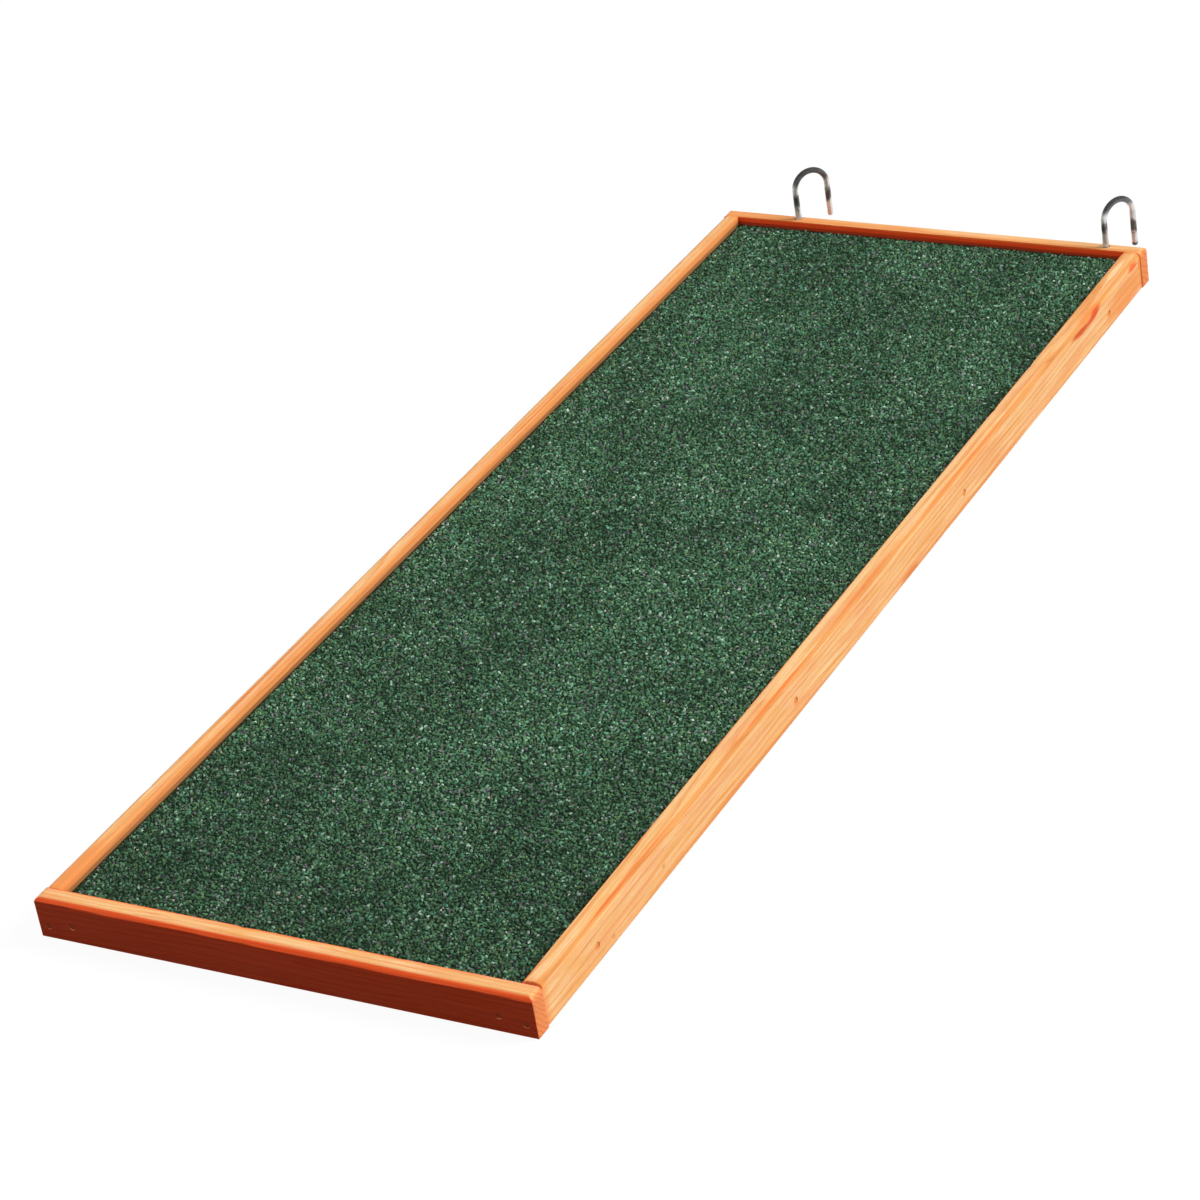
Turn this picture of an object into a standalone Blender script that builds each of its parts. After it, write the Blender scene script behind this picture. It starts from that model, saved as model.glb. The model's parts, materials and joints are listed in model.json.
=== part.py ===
"""Small wooden pet ramp: four pine rails nailed round a felt-covered board, with two wire screw hooks.

The ramp lies flat on its rails. +Y points to the hooked end and +Z up. All sizes are in metres.
"""
import bpy
import bmesh
from math import cos, pi, radians, sin

# Frame of rails
frame_length = 0.500
frame_width = 0.180
side_rail_thickness = 0.0065
end_rail_thickness = 0.0064
end_rail_overhang = 0.0004
top_edge_radius = 0.0022
top_edge_segments = 6
eased_edge = 0.0004
eased_edge_segments = 2

# Stack between the rails, from the underside up
underside_recess = 0.0029
board_thickness = 0.0060
felt_thickness = 0.0030
rim_above_felt = 0.0028

# Gaps that pieces keep to each other
fit_gap = 0.0003
nail_clearance = 0.00025
hook_clearance = 0.0003

# Nails
nail_length = 0.0200
nail_diameter = 0.0011
nail_head_diameter = 0.0020
nail_head_thickness = 0.0006
nail_head_sunk = 0.0003
nail_point_length = 0.0016
nail_point_flat = 0.0002
nail_sides = 12
corner_nail_height = 0.0045
front_nail_from_end = 0.0125
back_nail_from_hook = 0.0100
side_nail_from_end = 0.0400
side_nail_count = 4

# Screw hooks
wire_diameter = 0.0024
hook_bend_radius = 0.0070
hook_free_leg = 0.0150
hook_point_length = 0.0040
hook_point_flat = 0.0002
hook_tip_rounding = 0.0010
hook_tip_flat = 0.0003
hook_tip_steps = 4
hook_bend_steps = 24
hook_section_resolution = 4
hook_hole_sides = 24
wood_under_hook = 0.0030
left_hook_stand = 0.0120
right_hook_stand = 0.0102
left_hook_from_end = 0.0324
right_hook_from_end = 0.0150
left_hook_turn = radians(50)
right_hook_turn = radians(60)

# How far a cutter stands out of the face that it cuts
cutter_reach = 0.0010

# Places that follow from the sizes
rail_height = underside_recess + board_thickness + fit_gap + felt_thickness + rim_above_felt
half_width = frame_width / 2
end_rail_half_length = half_width + end_rail_overhang
board_middle = underside_recess + board_thickness / 2
felt_bottom = underside_recess + board_thickness + fit_gap
inner_half_width = half_width - side_rail_thickness - fit_gap
inner_front = end_rail_thickness + fit_gap
inner_back = frame_length - end_rail_thickness - fit_gap
corner_nail_x = half_width - side_rail_thickness / 2
back_rail_middle = frame_length - end_rail_thickness / 2
left_hook_x = left_hook_from_end - half_width
right_hook_x = half_width - right_hook_from_end
hook_shank = rail_height - wood_under_hook + right_hook_stand
hook_span = 2 * hook_bend_radius
hook_reach = hook_span * max(sin(left_hook_turn), sin(right_hook_turn)) + wire_diameter / 2
whole_depth = max(frame_length, back_rail_middle + hook_reach)


def on_ramp(x, y, z):
    """A place given from the front face of the front rail, on the part's own centred axes."""
    return (x, y - whole_depth / 2, z)


def new_collection(name):
    collection = bpy.data.collections.new(name)
    bpy.context.scene.collection.children.link(collection)
    return collection


def finish(name, colour, roughness, metallic=0.0):
    """A plain material in the colour of one piece."""
    material = bpy.data.materials.new(name)
    material.use_nodes = True
    shader = material.node_tree.nodes["Principled BSDF"]
    shader.inputs["Base Color"].default_value = (*colour, 1.0)
    shader.inputs["Roughness"].default_value = roughness
    shader.inputs["Metallic"].default_value = metallic
    return material


def pine(name):
    return finish(name + "_glaze", (0.80, 0.30, 0.09), 0.45)


def bright_steel(name):
    return finish(name + "_zinc", (0.62, 0.62, 0.64), 0.22, 1.0)


def place(name, data, collection, material=None):
    """Make the object for one piece, or for a cutter when it has no material."""
    piece = bpy.data.objects.new(name, data)
    collection.objects.link(piece)
    if material is None:
        piece.hide_render = True
        piece.display_type = "WIRE"
    else:
        data.materials.append(material)
    return piece


def slat(name, low, high, material):
    """A rectangular piece of wood or felt between two opposite corners."""
    size = [b - a for a, b in zip(low, high)]
    middle = [(a + b) / 2 for a, b in zip(low, high)]
    bm = bmesh.new()
    bmesh.ops.create_cube(bm, size=1.0)
    bmesh.ops.scale(bm, vec=size, verts=bm.verts)
    mesh = bpy.data.meshes.new(name)
    bm.to_mesh(mesh)
    bm.free()
    piece = place(name, mesh, ramp, material)
    piece.location = on_ramp(*middle)
    return piece


def shape_rail(rail, along, across, outward, round_ends):
    """Round a rail's upper outer edge, and with round_ends the upper edges of its ends. Ease the others.

    along and across are the indexes of the rail's long axis and of the axis through its thickness.
    outward is +1 or -1, the way its outer face looks.
    """
    bm = bmesh.new()
    bm.from_mesh(rail.data)
    rounded = []
    for edge in bm.edges:
        a, b = (vertex.co for vertex in edge.verts)
        runs_along = a[along] * b[along] < 0
        outer = a[across] * outward > 0 and b[across] * outward > 0
        upper = a.z > 0 and b.z > 0
        if upper and (outer if runs_along else round_ends):
            rounded.append(edge)
    bmesh.ops.bevel(bm, geom=rounded, offset=top_edge_radius, segments=top_edge_segments,
                    profile=0.5, affect="EDGES")
    bm.to_mesh(rail.data)
    bm.free()
    eased = rail.modifiers.new("eased edges", "BEVEL")
    eased.width = eased_edge
    eased.segments = eased_edge_segments
    eased.limit_method = "ANGLE"
    eased.angle_limit = radians(60)
    rail.data.shade_smooth()
    rail.data.set_sharp_from_angle(angle=radians(30))


def drill(piece, cutter):
    """Cut the hole that a nail or a hook sits in."""
    hole = piece.modifiers.new("hole for " + cutter.name, "BOOLEAN")
    hole.operation = "DIFFERENCE"
    hole.solver = "EXACT"
    hole.object = cutter


def turned(name, profile, sides, collection, material=None):
    """A shape turned about its own Z axis, from (radius, height) points listed from the top down."""
    bm = bmesh.new()
    corners = [bm.verts.new((radius, 0.0, height)) for radius, height in profile]
    for upper, lower in zip(corners, corners[1:]):
        bm.edges.new((upper, lower))
    mesh = bpy.data.meshes.new(name)
    bm.to_mesh(mesh)
    bm.free()
    piece = place(name, mesh, collection, material)
    turn = piece.modifiers.new("turn", "SCREW")
    turn.angle = 2 * pi
    turn.steps = sides
    turn.render_steps = sides
    turn.use_merge_vertices = True
    turn.merge_threshold = 0.00001
    turn.use_smooth_shade = True
    return piece


def nail_profile(clearance):
    """A nail whose head lies at the top, just under z = 0, or the hole for it when given a clearance."""
    head_radius = nail_head_diameter / 2 + clearance
    shank_radius = nail_diameter / 2 + clearance
    top = -nail_head_sunk if clearance == 0 else cutter_reach
    head_base = -nail_head_sunk - nail_head_thickness - clearance
    taper_top = -nail_head_sunk - nail_length + nail_point_length
    point = -nail_head_sunk - nail_length - clearance
    return [
        (0.0, top),
        (head_radius, top),
        (head_radius, head_base),
        (shank_radius, head_base - (head_radius - shank_radius)),
        (shank_radius, taper_top),
        (nail_point_flat + clearance, point),
        (0.0, point),
    ]


def nail(name, place_of_head, turn, through, into):
    """One nail, driven through one piece of wood into another."""
    steel = turned(name, nail_profile(0.0), nail_sides, ramp, bright_steel(name))
    hole = turned(name + "_hole", nail_profile(nail_clearance), nail_sides, cutters)
    for piece in (steel, hole):
        piece.location = on_ramp(*place_of_head)
        piece.rotation_euler = turn
    drill(through, hole)
    drill(into, hole)


def hook_path():
    """The hook's centre line in its own XZ plane, from the point of its shank to the tip of its free leg.

    The shank stands on the Z axis and the bend starts at z = 0. Each point is (x, z, radius).
    """
    wire_radius = wire_diameter / 2
    path = [(0.0, -hook_shank, hook_point_flat), (0.0, -hook_shank + hook_point_length, wire_radius)]
    for step in range(hook_bend_steps + 1):
        angle = pi * (1 - step / hook_bend_steps)
        path.append((hook_bend_radius * (1 + cos(angle)), hook_bend_radius * sin(angle), wire_radius))
    for step in range(hook_tip_steps):
        angle = pi / 2 * step / hook_tip_steps
        height = hook_tip_rounding * (1 - sin(angle)) - hook_free_leg
        path.append((hook_span, height, max(wire_radius * cos(angle), hook_tip_flat)))
    path.append((hook_span, -hook_free_leg, hook_tip_flat))
    return path


def screw_hook(name, x, stand, turn, rail):
    """One wire hook, screwed down into the top edge of a rail and turned about its shank."""
    wire = bpy.data.curves.new(name, "CURVE")
    wire.dimensions = "3D"
    wire.bevel_depth = 1.0
    wire.bevel_resolution = hook_section_resolution
    wire.use_fill_caps = True
    line = wire.splines.new("POLY")
    path = hook_path()
    line.points.add(len(path) - 1)
    for point, (along, height, radius) in zip(line.points, path):
        point.co = (along, 0.0, height, 1.0)
        point.radius = radius
    line.use_smooth = True
    hook = place(name, wire, ramp, bright_steel(name))
    hook.location = on_ramp(x, back_rail_middle, rail_height + stand)
    hook.rotation_euler = (0.0, 0.0, turn)

    radius = wire_diameter / 2 + hook_clearance
    bottom = -hook_shank - hook_clearance
    hole_profile = [
        (0.0, cutter_reach - stand),
        (radius, cutter_reach - stand),
        (radius, -hook_shank + hook_point_length),
        (hook_point_flat + hook_clearance, bottom),
        (0.0, bottom),
    ]
    hole = turned(name + "_hole", hole_profile, hook_hole_sides, cutters)
    hole.location = hook.location
    drill(rail, hole)


for old in list(bpy.data.objects):
    bpy.data.objects.remove(old, do_unlink=True)

ramp = new_collection("pet_ramp")
cutters = new_collection("cutters")

# Rails: the end rails run the full width and cover the ends of the side rails
side_front = end_rail_thickness + fit_gap
side_back = frame_length - end_rail_thickness - fit_gap
inner_face = half_width - side_rail_thickness
side_rail_left = slat("side_rail_left", (-half_width, side_front, 0.0),
                      (-inner_face, side_back, rail_height), pine("side_rail_left"))
side_rail_right = slat("side_rail_right", (inner_face, side_front, 0.0),
                       (half_width, side_back, rail_height), pine("side_rail_right"))
end_rail_front = slat("end_rail_front", (-end_rail_half_length, 0.0, 0.0),
                      (end_rail_half_length, end_rail_thickness, rail_height), pine("end_rail_front"))
end_rail_back = slat("end_rail_back", (-end_rail_half_length, frame_length - end_rail_thickness, 0.0),
                     (end_rail_half_length, frame_length, rail_height), pine("end_rail_back"))
shape_rail(side_rail_left, along=1, across=0, outward=-1, round_ends=False)
shape_rail(side_rail_right, along=1, across=0, outward=1, round_ends=False)
shape_rail(end_rail_front, along=0, across=1, outward=-1, round_ends=True)
shape_rail(end_rail_back, along=0, across=1, outward=1, round_ends=True)

# Board and the felt on it
base_board = slat("base_board", (-inner_half_width, inner_front, underside_recess),
                  (inner_half_width, inner_back, underside_recess + board_thickness),
                  finish("base_board_plywood", (0.62, 0.42, 0.24), 0.7))
mineral_felt = slat("mineral_felt", (-inner_half_width, inner_front, felt_bottom),
                    (inner_half_width, inner_back, felt_bottom + felt_thickness),
                    finish("mineral_felt_granules", (0.05, 0.10, 0.06), 0.85))

# Nails, with their heads looking out of the face that they are driven into
facing_front = (radians(90), 0.0, 0.0)
facing_back = (radians(-90), 0.0, 0.0)
facing_left = (0.0, radians(-90), 0.0)
facing_right = (0.0, radians(90), 0.0)

for side, sign, side_rail in (("left", -1, side_rail_left), ("right", 1, side_rail_right)):
    nail("corner_nail_front_" + side, (sign * corner_nail_x, 0.0, corner_nail_height),
         facing_front, end_rail_front, side_rail)
    nail("corner_nail_back_" + side, (sign * corner_nail_x, frame_length, corner_nail_height),
         facing_back, end_rail_back, side_rail)

front_nail_x = half_width - front_nail_from_end
for number, x in enumerate((-front_nail_x, front_nail_x), start=1):
    nail(f"board_nail_front_{number}", (x, 0.0, board_middle), facing_front, end_rail_front, base_board)

back_nails = (left_hook_x + back_nail_from_hook, right_hook_x - back_nail_from_hook)
for number, x in enumerate(back_nails, start=1):
    nail(f"board_nail_back_{number}", (x, frame_length, board_middle), facing_back, end_rail_back,
         base_board)

side_nail_pitch = (frame_length - 2 * side_nail_from_end) / (side_nail_count - 1)
for number in range(side_nail_count):
    y = side_nail_from_end + number * side_nail_pitch
    nail(f"board_nail_left_{number + 1}", (-half_width, y, board_middle), facing_left, side_rail_left,
         base_board)
    nail(f"board_nail_right_{number + 1}", (half_width, y, board_middle), facing_right,
         side_rail_right, base_board)

# Hooks in the top edge of the back rail
screw_hook("screw_hook_left", left_hook_x, left_hook_stand, left_hook_turn, end_rail_back)
screw_hook("screw_hook_right", right_hook_x, right_hook_stand, right_hook_turn, end_rail_back)
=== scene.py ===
# %% [markdown]
# # A small wooden pet ramp
#
# Rabbits and guinea pigs walk up a ramp like this to their hutch. Four slats of glazed pine stand on edge
# round a board. The board is covered with green mineral roofing felt, which gives small feet a grip, and
# two wire screw hooks in the upper rail hang the ramp up.
#
# The construction is already there: solids at their real size, each riding on its body. This script is
# about looks. It loads those solids as a fixed frame, keeps the ones whose shape is good enough, and
# models finer pieces in the place of the others.

# %% Load the frame
import json
import random
from collections import namedtuple
from math import cos, exp, hypot, pi, radians, sin

import bmesh
import bpy
from mathutils import Euler, Matrix, Vector, noise


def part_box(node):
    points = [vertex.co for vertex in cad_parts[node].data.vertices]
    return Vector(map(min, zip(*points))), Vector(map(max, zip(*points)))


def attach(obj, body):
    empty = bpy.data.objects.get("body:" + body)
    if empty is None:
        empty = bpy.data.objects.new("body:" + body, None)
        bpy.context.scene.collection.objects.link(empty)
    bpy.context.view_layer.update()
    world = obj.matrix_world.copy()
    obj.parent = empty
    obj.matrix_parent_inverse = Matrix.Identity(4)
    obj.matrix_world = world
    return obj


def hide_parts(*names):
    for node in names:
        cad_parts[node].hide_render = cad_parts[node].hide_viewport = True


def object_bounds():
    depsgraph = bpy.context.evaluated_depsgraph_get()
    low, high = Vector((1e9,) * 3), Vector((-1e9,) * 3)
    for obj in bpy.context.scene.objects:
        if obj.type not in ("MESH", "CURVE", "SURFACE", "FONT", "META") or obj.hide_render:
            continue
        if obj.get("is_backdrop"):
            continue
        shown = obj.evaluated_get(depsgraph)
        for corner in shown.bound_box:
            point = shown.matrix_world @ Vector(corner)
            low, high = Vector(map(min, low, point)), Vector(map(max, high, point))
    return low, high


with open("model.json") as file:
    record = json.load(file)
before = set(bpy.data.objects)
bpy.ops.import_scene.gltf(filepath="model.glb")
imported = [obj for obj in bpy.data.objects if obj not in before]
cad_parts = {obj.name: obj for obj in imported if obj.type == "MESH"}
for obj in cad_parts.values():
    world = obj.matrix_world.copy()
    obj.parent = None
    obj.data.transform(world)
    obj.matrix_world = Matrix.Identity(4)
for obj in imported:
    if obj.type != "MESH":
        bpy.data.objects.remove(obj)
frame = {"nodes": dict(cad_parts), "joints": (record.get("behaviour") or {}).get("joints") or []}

MM = 0.001
cad_box = [list(corner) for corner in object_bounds()]


def print_size(title, box):
    print(title, [round((b - a) / MM, 1) for a, b in zip(*box)], "mm")


print_size("size of the frame:", cad_box)

# %% [markdown]
# ## The camera
#
# The ramp lies on the floor and is seen from the front right, thirty degrees above it, with a long lens.
# A camera could be aimed with a Track To constraint, but that keeps it level, and this picture is tilted
# by almost ten degrees. So the turn is put together from three plain angles: up from looking straight
# down, round the vertical, and a roll about the line of sight.

# %% Camera
camera_lens = 114.9
camera_sensor = 36.0
camera_azimuth = radians(32.71)
camera_elevation = radians(30.18)
camera_roll = radians(-9.57)
camera_distance = 1309.3 * MM
camera_target = Vector((3.4, -47.3, 15.0)) * MM


def add_object(name, data):
    """Put a mesh, a lamp or a camera into the scene."""
    made = bpy.data.objects.new(name, data)
    bpy.context.scene.collection.objects.link(made)
    return made


camera_data = bpy.data.cameras.new("camera")
camera_data.lens = camera_lens
camera_data.sensor_width = camera_sensor
camera = add_object("camera", camera_data)
facing = Euler((pi / 2 - camera_elevation, 0.0, camera_azimuth)).to_matrix()
turn = facing @ Matrix.Rotation(camera_roll, 3, "Z")
sight = turn @ Vector((0.0, 0.0, -1.0))
camera.matrix_world = Matrix.Translation(camera_target - sight * camera_distance) @ turn.to_4x4()
bpy.context.scene.camera = camera
print("camera at", [round(value, 3) for value in camera.matrix_world.translation])

# %% [markdown]
# ## Small helpers for shader nodes
#
# Every material here is a node tree. Adding a node takes the same three steps each time: make it, set it
# up, and fill its inputs with numbers or with links. Two helpers do all three, and a few short ones on
# top of them keep the materials readable. Patterns are written in mm and read Object coordinates, so they
# are as large as on the real ramp and stay with a piece when it moves.

# %% Node helpers
def fill(tree, target, inputs):
    """Fill a node's inputs, by name or number, with plain values or with other nodes' outputs."""
    for name, value in inputs.items():
        if isinstance(value, bpy.types.NodeSocket):
            tree.links.new(value, target.inputs[name])
        else:
            target.inputs[name].default_value = value


def node(tree, kind, inputs=None, **settings):
    """Add a shader node, set it up and fill its inputs."""
    made = tree.nodes.new("ShaderNode" + kind)
    for name, value in settings.items():
        setattr(made, name, value)
    fill(tree, made, inputs or {})
    return made


def calc(tree, operation, *values):
    return node(tree, "Math", dict(enumerate(values)), operation=operation).outputs[0]


def vector_calc(tree, operation, *values):
    made = node(tree, "VectorMath", dict(enumerate(values)), operation=operation)
    return made.outputs["Value" if operation in ("LENGTH", "DOT_PRODUCT") else "Vector"]


def component(tree, vector, axis):
    return node(tree, "SeparateXYZ", {"Vector": vector}).outputs[axis]


def fade(tree, value, low, high):
    """0 at low and 1 at high, with a smooth step between them."""
    inputs = {"Value": value, "From Min": low, "From Max": high}
    return node(tree, "MapRange", inputs, interpolation_type="SMOOTHSTEP").outputs["Result"]


def blend(tree, factor, first, second, kind="MIX"):
    """Mix two colours. Inputs 0, 6 and 7 of a Mix node are its factor and its two colours."""
    made = node(tree, "Mix", {0: factor, 6: first, 7: second}, data_type="RGBA", blend_type=kind)
    return made.outputs[2]


def ramp(tree, factor, stops):
    """A colour ramp from (position, colour) stops."""
    made = node(tree, "ValToRGB", {"Fac": factor})
    elements = made.color_ramp.elements
    while len(elements) < len(stops):
        elements.new(1.0)
    for element, (position, colour) in zip(elements, stops):
        element.position = position
        element.color = colour
    return made.outputs["Color"]

# %% Patterns in mm
def place_in_mm(tree):
    place = node(tree, "TexCoord").outputs["Object"]
    return vector_calc(tree, "MULTIPLY", place, (1 / MM,) * 3)


def looking(tree, direction):
    """How straight the surface looks in a direction: 1 straight that way, 0 square to it."""
    return vector_calc(tree, "DOT_PRODUCT", node(tree, "TexCoord").outputs["Normal"], direction)


def cloudy(tree, place, stretch, detail=2.0, roughness=0.5, output="Fac"):
    """Noise between 0 and 1, its cells 1 mm long divided by stretch along each axis."""
    cells = vector_calc(tree, "MULTIPLY", place, stretch)
    inputs = {"Vector": cells, "Scale": 1.0, "Detail": detail, "Roughness": roughness}
    return node(tree, "TexNoise", inputs).outputs[output]


def noisy(tree, place, stretch, low, high, detail=3.0, roughness=0.5):
    """Cloudy noise with more contrast: 0 below low and 1 above high."""
    return fade(tree, cloudy(tree, place, stretch, detail, roughness), low, high)

# %% Materials
def grey(value):
    return (value, value, value, 1.0)


def new_material(name):
    material = bpy.data.materials.new(name)
    material.use_nodes = True
    return material, material.node_tree, material.node_tree.nodes["Principled BSDF"]


def relief(tree, height, depth):
    """Bump from a height between 0 and 1, where 1 stands depth metres above 0."""
    return node(tree, "Bump", {"Height": height, "Distance": depth, "Strength": 1.0}).outputs["Normal"]

# %% [markdown]
# ## The studio
#
# The ramp lies on a white floor. A white floor could be made by lighting it until it burns out, but that
# would bleach the ramp as well. Instead the floor glows white for the camera and for reflections, and
# only a small share of its brightness comes from the lamps, so that the ramp still casts a soft shadow on
# it. What the floor throws back onto the ramp is an ordinary pale grey. The light is a wide sun from the
# back right, a weak one from the front left and an even sky, so that a level surface shows about the
# colour that its material says. Bright wire needs something dark to reflect, or it vanishes against the
# white, so reflections see a white horizon under a dark ceiling, and not the two suns.

# %% Floor
floor_size = 12.0
floor_drop = 0.2 * MM
floor_glow = 0.93
floor_shadow_share = 0.08
floor_bounce = 0.35


def mesh_from(bm, name):
    """Turn a bmesh into a mesh, and free it."""
    mesh = bpy.data.meshes.new(name)
    bm.to_mesh(mesh)
    bm.free()
    return mesh


def fit(bm, size, middle):
    """Scale a shape that is 1 across to its size, and move it to its place."""
    bmesh.ops.scale(bm, vec=size, verts=bm.verts)
    bmesh.ops.translate(bm, vec=middle, verts=bm.verts)


def seen_directly(tree):
    """1 for rays that come from the camera, from a reflection or through glass."""
    path = node(tree, "LightPath").outputs
    mirrored = calc(tree, "MAXIMUM", path["Is Glossy Ray"], path["Is Transmission Ray"])
    return calc(tree, "MAXIMUM", path["Is Camera Ray"], mirrored)


floor_bm = bmesh.new()
bmesh.ops.create_grid(floor_bm, x_segments=1, y_segments=1, size=0.5)
fit(floor_bm, (floor_size, floor_size, 1.0), (0.0, 0.0, -floor_drop))
floor = add_object("floor", mesh_from(floor_bm, "floor"))
floor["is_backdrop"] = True

floor_paint, tree, shader = new_material("white_floor")
tree.nodes.remove(shader)
glow = node(tree, "Emission", {"Color": grey(1.0), "Strength": floor_glow}).outputs[0]
shaded = node(tree, "BsdfDiffuse", {"Color": grey(floor_shadow_share)}).outputs[0]
pale = node(tree, "BsdfDiffuse", {"Color": grey(floor_bounce)}).outputs[0]
shown = node(tree, "AddShader", {0: glow, 1: shaded}).outputs[0]
surface = node(tree, "MixShader", {0: seen_directly(tree), 1: pale, 2: shown}).outputs[0]
fill(tree, tree.nodes["Material Output"], {"Surface": surface})
floor.data.materials.append(floor_paint)
print("floor:", floor_size, "m wide")

# %% Sky
sky_light = 0.50
ceiling_dark = 0.04
ceiling_from = 0.02
ceiling_to = 0.36

sky = bpy.data.worlds.new("sky")
sky.use_nodes = True
bpy.context.scene.world = sky
tree = sky.node_tree
tree.nodes.clear()
even = node(tree, "Background", {"Color": grey(1.0), "Strength": sky_light}).outputs[0]
white = node(tree, "Background", {"Color": grey(1.0), "Strength": 1.0}).outputs[0]
height = component(tree, node(tree, "TexCoord").outputs["Generated"], "Z")
ceiling = calc(tree, "MULTIPLY_ADD", fade(tree, height, ceiling_from, ceiling_to), ceiling_dark - 1.0, 1.0)
mirrored = node(tree, "Background", {"Color": grey(1.0), "Strength": ceiling}).outputs[0]
path = node(tree, "LightPath").outputs
shown = node(tree, "MixShader", {0: path["Is Glossy Ray"], 1: white, 2: mirrored}).outputs[0]
surface = node(tree, "MixShader", {0: seen_directly(tree), 1: even, 2: shown}).outputs[0]
node(tree, "OutputWorld", {"Surface": surface})
print("sky light:", sky_light)

# %% Lamps
def sun(name, towards, share, width):
    """A sun whose light, falling straight on, shows share of a surface's own colour."""
    data = bpy.data.lights.new(name, "SUN")
    data.energy = pi * share
    data.angle = width
    lamp = add_object(name, data)
    lamp.rotation_euler = Vector(towards).to_track_quat("Z", "Y").to_euler()
    lamp.visible_glossy = False
    print(f"{name} sun shows {share:.0%} of a colour")


sun("key", towards=(0.71, 0.40, 0.59), share=0.84, width=radians(30))
sun("fill", towards=(-0.35, -0.80, 0.45), share=0.17, width=radians(60))
bpy.context.scene.view_settings.view_transform = "Standard"

# %% [markdown]
# ## Turning a mesh into a piece
#
# A finished piece's object sits at the origin, so its place is in its mesh, as it is for the frame's own
# solids. The piece then rides on a body, gets its material in a slot, and may stand for solids of the
# frame, which are hidden.

# %% Pieces
def new_piece(name, bm, material, body="ramp_frame", stands_for=(), smooth_angle=None):
    mesh = mesh_from(bm, name)
    mesh.materials.append(material)
    if smooth_angle is not None:
        mesh.shade_smooth()
        mesh.set_sharp_from_angle(angle=smooth_angle)
    piece = add_object(name, mesh)
    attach(piece, body)
    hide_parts(*stands_for)
    print(f"{name}: {len(mesh.polygons)} faces")
    return piece


def size_and_middle(low, high):
    size = Vector([b - a for a, b in zip(low, high)])
    return size, (Vector(low) + Vector(high)) / 2

# %% [markdown]
# ## Glazed pine
#
# Pine is a stack of growth rings. Each ring starts pale and ends in a thin hard line, and a slat shows
# those rings as long lines on its faces and as arcs on its ends. A flat stripe texture would not turn the
# corner, so the rings are worked out in three dimensions: the distance from the heart of the tree,
# measured across the grain, is cut into rings, and slow noise bends them as a trunk does.
#
# The glaze lies thin and pale on the faces that were wiped and thicker and redder on the others, in the
# joints and along the edges. The faces that look to the front of the ramp and the rounded outer edges of the
# side rails are painted darker as painted shade. Which face is which is read from the direction that the
# surface looks, so the colour turns softly over a rounded edge. Knots and streaks are ellipsoids placed on
# the wood, and where the rails meet the felt a dark line of painted shade is laid.

# %% Glazes, painted shade and where they lie
glaze_pale = (0.965, 0.550, 0.225, 1.0)
glaze_cream = (0.990, 0.680, 0.350, 1.0)
glaze_honey = (0.930, 0.480, 0.135, 1.0)
glaze_rosy = (0.930, 0.390, 0.190, 1.0)
glaze_amber = (0.840, 0.290, 0.070, 1.0)
glaze_orange = (0.900, 0.300, 0.080, 1.0)
glaze_tan = (1.000, 0.390, 0.122, 1.0)
glaze_red = (1.000, 0.098, 0.016, 1.0)
# The next two colours are painted shade for the faces that look to the front, making them darker and redder.
back_shade_red = (1.000, 0.064, 0.005, 1.0)
front_shade_brown = (0.262, 0.022, 0.0015, 1.0)
pore_brown = (0.640, 0.180, 0.040, 1.0)
# The dark of the painted shade where the rails meet the felt.
felt_edge_shade_black = (0.030, 0.022, 0.016, 1.0)

# Glaze on the faces that look in a direction. Some coats are painted shade instead: those on the faces that
# look to the front and on the rounded outer edges of the side rails. first and full say how straight a face
# looks that way where the glaze sets in and where it is thick. A narrow band along an edge ends again
# between the two numbers of out. rings says how strongly the growth rings show through.
Coat = namedtuple("Coat", "direction glaze first full out rings", defaults=[(), 0.45])

# A knot or a run of glaze: an ellipsoid in the wood, with its place and half sizes in mm. The same shape
# marks a strip of painted light on the wood and patches of painted dark reflection on the wire.
Streak = namedtuple("Streak", "middle size glaze turned strength", defaults=[(0.0, 0.0, 0.0), 1.0])

# Glaze that gathered in a joint: its place along the grain and its reach to both sides, in mm.
Seam = namedtuple("Seam", "place glaze reach strength")

# A slat's grain runs along an axis, past the heart of its tree, and leans. Its rings are ring mm apart, and
# its rounded edge looks outward.
Slat = namedtuple("Slat", "along heart lean ring outward seed coats streaks seams")

# %% Marks on the wood
streak_ragged = 0.30
streak_gone, streak_full = 1.05, 0.50
# How far the painted shade beside the felt reaches along each axis, in mm.
felt_shade_gone_and_full = {"X": (1.4, 0.8), "Y": (1.4, 0.8), "Z": (0.75, 0.25)}


def ellipsoid(tree, place, mark, ragged):
    """1 inside a streak and 0 outside it. ragged, between 0 and 1, draws its border in."""
    shift = vector_calc(tree, "SUBTRACT", place, mark.middle)
    inputs = {"Vector": shift, "Rotation": mark.turned}
    lined_up = node(tree, "Mapping", inputs, vector_type="TEXTURE").outputs["Vector"]
    distance = vector_calc(tree, "LENGTH", vector_calc(tree, "DIVIDE", lined_up, mark.size))
    border = calc(tree, "MULTIPLY_ADD", ragged, streak_ragged, distance)
    return fade(tree, border, streak_gone, streak_full)


def shade_beside_felt(tree, place):
    """1 close to the felt's solid and 0 a millimetre or so away, for the painted shade where the rails meet
    the felt.
    """
    size, middle = size_and_middle(*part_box("mineral_felt"))
    apart = vector_calc(tree, "ABSOLUTE", vector_calc(tree, "SUBTRACT", place, middle / MM))
    gap = vector_calc(tree, "SUBTRACT", apart, size / 2 / MM)
    near = 1.0
    for axis, (gone, full) in felt_shade_gone_and_full.items():
        near = calc(tree, "MULTIPLY", near, fade(tree, component(tree, gap, axis), gone, full))
    return near

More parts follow.
